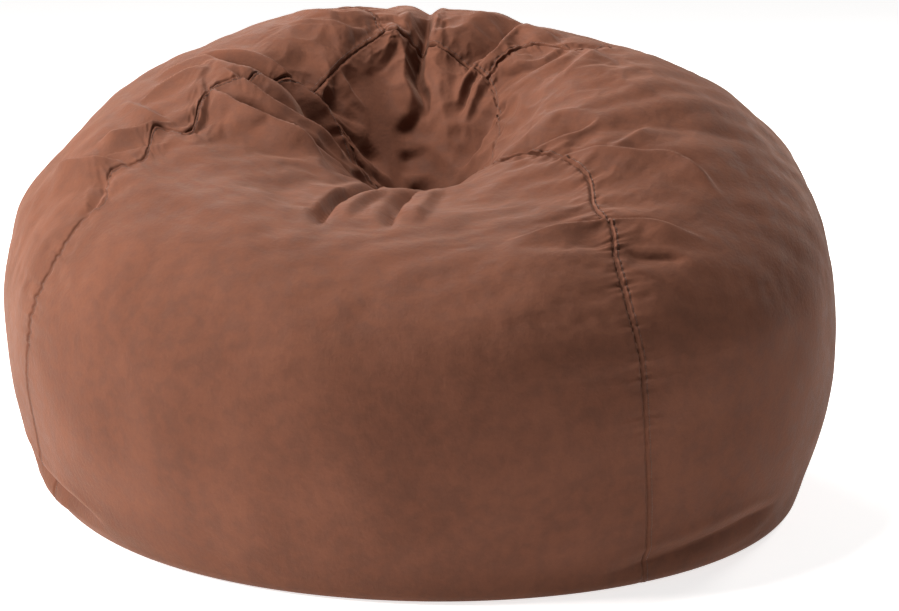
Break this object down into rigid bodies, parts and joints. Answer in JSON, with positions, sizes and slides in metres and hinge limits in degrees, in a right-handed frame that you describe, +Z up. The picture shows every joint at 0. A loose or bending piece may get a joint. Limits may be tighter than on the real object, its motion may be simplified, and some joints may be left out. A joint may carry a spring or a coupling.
{
  "type": "bean bag chair",
  "caption": "Large round foam-filled bean bag chair: four side panels, top cap and base sewn into a zipped cover, with a sitting hollow and a raised back, over a zipped liner and foam fill.",
  "frame": {"origin": "on the floor, under the middle of the bag", "axes": "+Z up, -Y the front where the sitter's legs go, +X to the right when seen from the front"},
  "size_m": [1.1985, 1.1687, 0.6599],
  "materials": {
    "suede": "brushed microsuede with a short nap, matte with a soft sheen",
    "thread": "polyester sewing thread",
    "liner_cloth": "plain woven polycotton",
    "liner_thread": "polyester sewing thread",
    "foam": "shredded polyurethane foam",
    "zipper_tape": "woven zipper tape",
    "zipper_nylon": "nylon coil",
    "zipper_metal": "painted die-cast zinc",
    "label": "blank satin ribbon"
  },
  "bodies": {
    "bag": {"care_label": "label", "cover_base_panel": "suede", "cover_panel_back": "suede", "cover_panel_front": "suede", "cover_panel_left": "suede", "cover_panel_right": "suede", "cover_top_cap": "suede", "cover_zipper_bottom_stop": "zipper_metal", "cover_zipper_tape_left": "zipper_tape", "cover_zipper_tape_right": "zipper_tape", "cover_zipper_teeth_left": "zipper_nylon", "cover_zipper_teeth_right": "zipper_nylon", "cover_zipper_top_stop": "zipper_metal", "foam_fill": "foam", "liner_base_panel": "liner_cloth", "liner_panel_back": "liner_cloth", "liner_panel_front": "liner_cloth", "liner_panel_left": "liner_cloth", "liner_panel_right": "liner_cloth", "liner_seam_threads": "liner_thread", "liner_top_cap": "liner_cloth", "liner_zipper_bottom_stop": "zipper_metal", "liner_zipper_tape_left": "zipper_tape", "liner_zipper_tape_right": "zipper_tape", "liner_zipper_teeth_left": "zipper_nylon", "liner_zipper_teeth_right": "zipper_nylon", "liner_zipper_top_stop": "zipper_metal", "seam_thread_back_left": "thread", "seam_thread_back_right": "thread", "seam_thread_base": "thread", "seam_thread_cap": "thread", "seam_thread_front_left": "thread", "seam_thread_front_right": "thread"},
    "zipper_slider": {"cover_zipper_slider": "zipper_metal"},
    "zipper_pull_tab": {"cover_zipper_pull_tab": "zipper_metal"},
    "liner_zipper_slider": {"liner_zipper_slider": "zipper_metal"}
  },
  "joints": [
    {"name": "cover_zipper_travel", "type": "hinge", "parent": "bag", "child": "zipper_slider", "pos_m": [-0.03702, 0.07939, 0.29], "axis": [0.9063, 0.4226, 0], "range_deg": [-57.4, 0]},
    {"name": "pull_tab_swing", "type": "hinge", "parent": "zipper_slider", "child": "zipper_pull_tab", "pos_m": [-0.2224, 0.47694, 0.53513], "axis": [0.9063, 0.4226, 0], "range_deg": [0, 160]},
    {"name": "liner_zipper_travel", "type": "hinge", "parent": "bag", "child": "liner_zipper_slider", "pos_m": [0.08813, 0.04109, 0.29], "axis": [0.4226, -0.9063, 0], "range_deg": [-42.4, 0]}
  ]
}
